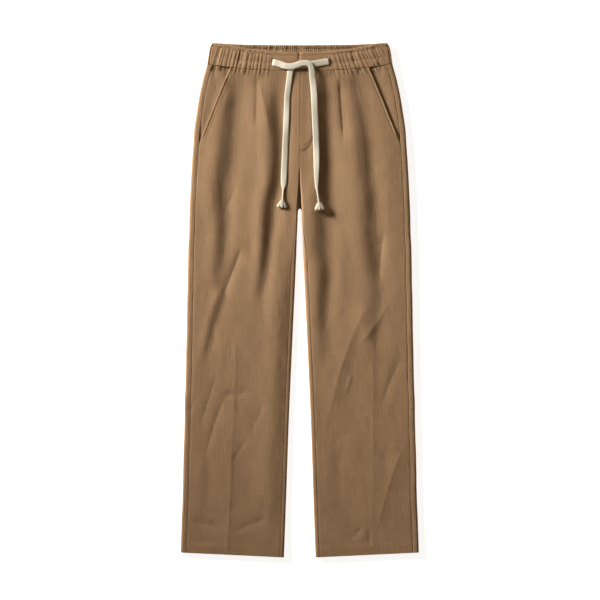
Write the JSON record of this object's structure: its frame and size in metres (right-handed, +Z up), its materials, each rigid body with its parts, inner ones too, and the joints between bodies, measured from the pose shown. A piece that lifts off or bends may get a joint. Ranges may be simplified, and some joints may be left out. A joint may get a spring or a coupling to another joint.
{
  "type": "linen drawstring trousers",
  "caption": "Full-length straight linen trousers laid flat, with a gathered drawstring waistband, slant pockets, a stitched fly and turned-up hems.",
  "frame": {"origin": "middle of the trousers' outline, on the surface they lie on", "axes": "+Z up off the surface, out of the front of the garment; +Y along the legs towards the waistband; +X towards the wearer's left leg"},
  "size_m": [0.4856, 1.0503, 0.0136],
  "materials": {
    "linen": "washed plain-weave linen, matt",
    "cotton_tape": "flat woven cotton tape, matt",
    "cotton_fringe": "frayed cotton threads, matt"
  },
  "bodies": {
    "root": {"back_panel_left": "linen", "back_panel_right": "linen", "front_panel_left": "linen", "front_panel_right": "linen", "fly_placket": "linen", "hem_left": "linen", "hem_right": "linen", "pocket_facing_left": "linen", "pocket_facing_right": "linen", "waistband_back": "linen", "waistband_front": "linen", "drawstring_left": "cotton_tape", "drawstring_right": "cotton_tape", "tuft_left": "cotton_fringe", "tuft_right": "cotton_fringe"}
  },
  "joints": []
}
